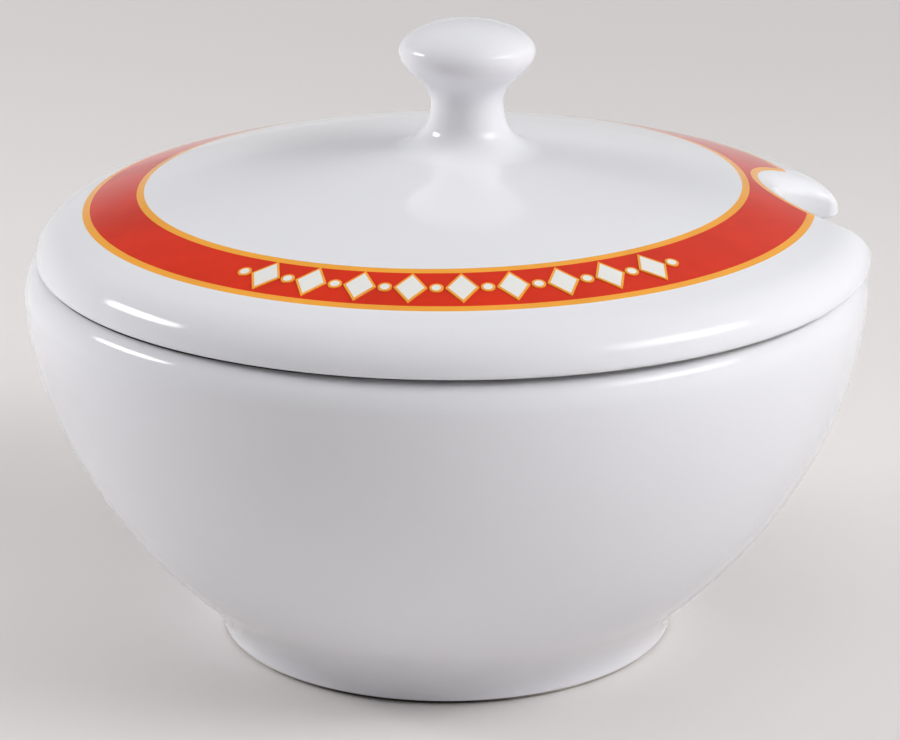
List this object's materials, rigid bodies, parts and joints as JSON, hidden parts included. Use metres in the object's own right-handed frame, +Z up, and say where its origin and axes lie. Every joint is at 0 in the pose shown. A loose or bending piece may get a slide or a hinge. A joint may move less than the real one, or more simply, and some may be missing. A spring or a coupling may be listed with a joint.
{
  "type": "lidded cheese bowl",
  "caption": "Round footed porcelain bowl for grated cheese, with a lift-off domed lid that has a mushroom knob and a rounded notch for a spoon.",
  "frame": {"origin": "middle of the foot ring's underside, on the bowl's axis", "axes": "+Z up along the bowl's axis, +X from the axis towards the lid's spoon notch"},
  "size_m": [0.1322, 0.1322, 0.0986],
  "materials": {
    "bowl_porcelain": "gloss",
    "lid_porcelain": "gloss"
  },
  "bodies": {
    "bowl": {"bowl": "bowl_porcelain"},
    "lid": {"lid": "lid_porcelain"}
  },
  "joints": [
    {"name": "lid_lift", "type": "slide", "parent": "bowl", "child": "lid", "axis": [0, 0, 1], "range_m": [0, 0.08]}
  ]
}
